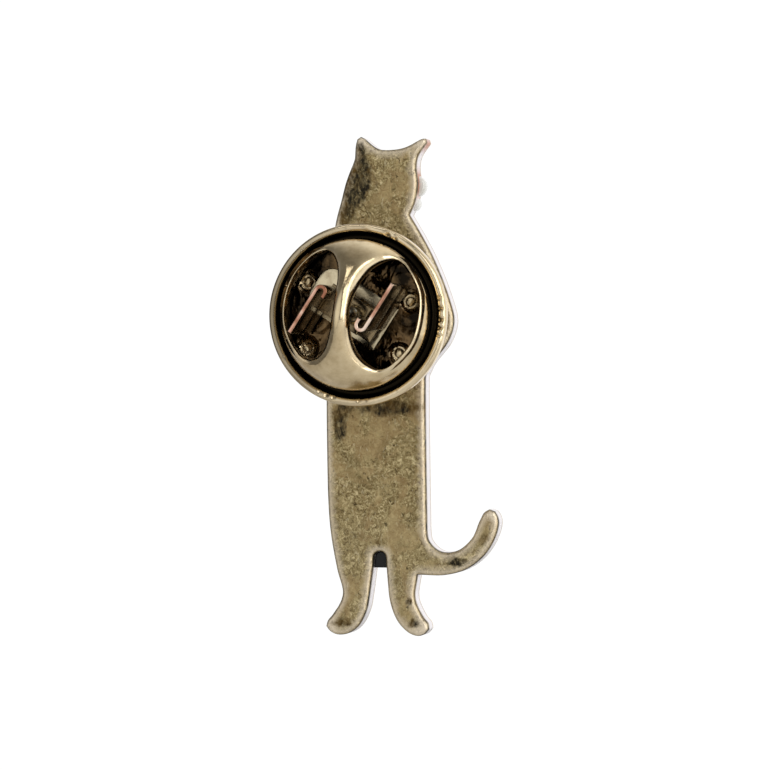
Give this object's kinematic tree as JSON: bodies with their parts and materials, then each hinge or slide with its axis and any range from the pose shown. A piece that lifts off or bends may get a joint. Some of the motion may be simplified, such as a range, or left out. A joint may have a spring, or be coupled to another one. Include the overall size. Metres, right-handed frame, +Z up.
{
  "type": "enamel pin",
  "caption": "Cat-shaped enamel pin with a pointed post on its back and a domed butterfly clutch that squeezes open and pulls off.",
  "frame": {"origin": "on the post's axis, in the plane of the plate's back face", "axes": "+Z up the standing cat, +Y out of the back along the post, the enamelled front faces -Y, and the tail is on the -X side"},
  "size_m": [0.0137, 0.0112, 0.032],
  "materials": {
    "plate_brass": "antique plated, mottled, satin",
    "clutch_brass": "antique plated, polished",
    "spring_brass": "polished, with coppery sheared edges",
    "post_steel": "plated, bright",
    "solder": "dull",
    "enamel_black": "glossy enamel",
    "enamel_white": "glossy enamel",
    "enamel_pink": "glossy enamel",
    "enamel_gold": "glossy enamel"
  },
  "bodies": {
    "pin": {"plate": "plate_brass", "post": "post_steel", "solder_ring": "solder", "enamel_head": "enamel_black", "enamel_arm_right": "enamel_black", "enamel_side_right": "enamel_black", "enamel_arm_left": "enamel_black", "enamel_tail": "enamel_black", "enamel_leg_left": "enamel_black", "enamel_leg_right": "enamel_black", "enamel_body": "enamel_black", "enamel_crotch": "enamel_black", "enamel_paw_right": "enamel_white", "enamel_bib": "enamel_white", "enamel_paw_left": "enamel_white", "enamel_tail_tip": "enamel_white", "enamel_sock_left": "enamel_white", "enamel_sock_right": "enamel_white", "enamel_muzzle": "enamel_white", "enamel_ear_left": "enamel_pink", "enamel_ear_right": "enamel_pink", "enamel_nose": "enamel_pink", "enamel_eye_left": "enamel_gold", "enamel_eye_right": "enamel_gold"},
    "clutch_base": {"clutch_base": "clutch_brass"},
    "clutch_cap": {"clutch_cap": "clutch_brass", "spring_seat": "spring_brass"},
    "wing_a": {"spring_wing_a": "spring_brass"},
    "wing_b": {"spring_wing_b": "spring_brass"}
  },
  "joints": [
    {"name": "clutch_pull", "type": "slide", "parent": "pin", "child": "clutch_base", "axis": [0, 1, 0], "range_m": [0, 0.006]},
    {"name": "clutch_spin", "type": "hinge", "parent": "clutch_base", "child": "clutch_cap", "pos_m": [0, 0.0043, 0], "axis": [0, 1, 0], "continuous": true},
    {"name": "wing_squeeze", "type": "slide", "parent": "clutch_cap", "child": "wing_a", "axis": [-0.8387, 0, -0.5446], "range_m": [0, 0.00028], "stiffness_N_per_m": 400},
    {"name": "wing_b_squeeze", "type": "slide", "parent": "clutch_cap", "child": "wing_b", "axis": [0.8387, 0, 0.5446], "range_m": [0, 0.00028]}
  ],
  "couplings": [
    {"joint": "wing_b_squeeze", "follows": "wing_squeeze", "ratio": 1}
  ]
}
